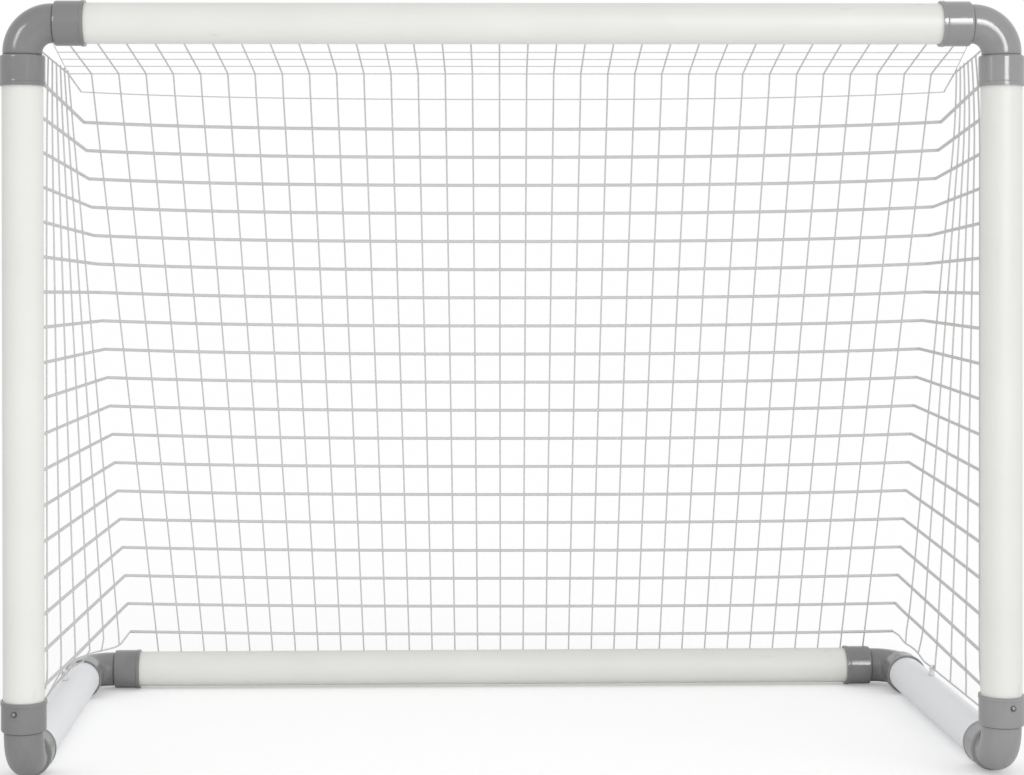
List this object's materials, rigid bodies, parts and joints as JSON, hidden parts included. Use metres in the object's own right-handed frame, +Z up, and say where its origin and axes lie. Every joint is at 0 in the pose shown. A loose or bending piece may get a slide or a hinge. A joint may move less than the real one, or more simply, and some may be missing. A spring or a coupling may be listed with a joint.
{
  "type": "football goal",
  "caption": "Small football goal of white push-fit plastic pipe with grey right-angle elbows, a U-shaped base frame and a sloping square-mesh net held by clips",
  "frame": {"origin": "on the floor under the middle of the whole goal's bounding box", "axes": "+X to the right as seen by a player facing the mouth, +Y from the mouth to the back of the goal, +Z up"},
  "size_m": [1.2062, 0.618, 0.9202],
  "materials": {
    "white_pipe": "satin off-white extruded PVC",
    "grey_fitting": "glossy mid-grey moulded PVC",
    "net_twine": "light grey twisted twine",
    "screw_steel": "bright zinc-plated",
    "clip_plastic": "off-white moulded plastic"
  },
  "bodies": {
    "root": {"crossbar_clip_1": "clip_plastic", "crossbar_clip_2": "clip_plastic", "crossbar_clip_3": "clip_plastic", "crossbar_clip_4": "clip_plastic", "crossbar_clip_5": "clip_plastic", "crossbar_pipe": "white_pipe", "left_base_clip_1": "clip_plastic", "left_base_clip_2": "clip_plastic", "left_base_pipe": "white_pipe", "left_front_elbow": "grey_fitting", "left_lock_screw": "screw_steel", "left_post_clip_1": "clip_plastic", "left_post_clip_2": "clip_plastic", "left_post_clip_3": "clip_plastic", "left_post_pipe": "white_pipe", "left_rear_elbow": "grey_fitting", "left_top_elbow": "grey_fitting", "net_back": "net_twine", "net_left": "net_twine", "net_right": "net_twine", "net_shelf": "net_twine", "rear_bar_pipe": "white_pipe", "rear_clip_1": "clip_plastic", "rear_clip_2": "clip_plastic", "rear_clip_3": "clip_plastic", "rear_clip_4": "clip_plastic", "rear_clip_5": "clip_plastic", "right_base_clip_1": "clip_plastic", "right_base_clip_2": "clip_plastic", "right_base_pipe": "white_pipe", "right_front_elbow": "grey_fitting", "right_lock_screw": "screw_steel", "right_post_clip_1": "clip_plastic", "right_post_clip_2": "clip_plastic", "right_post_clip_3": "clip_plastic", "right_post_pipe": "white_pipe", "right_rear_elbow": "grey_fitting", "right_top_elbow": "grey_fitting"}
  },
  "joints": []
}
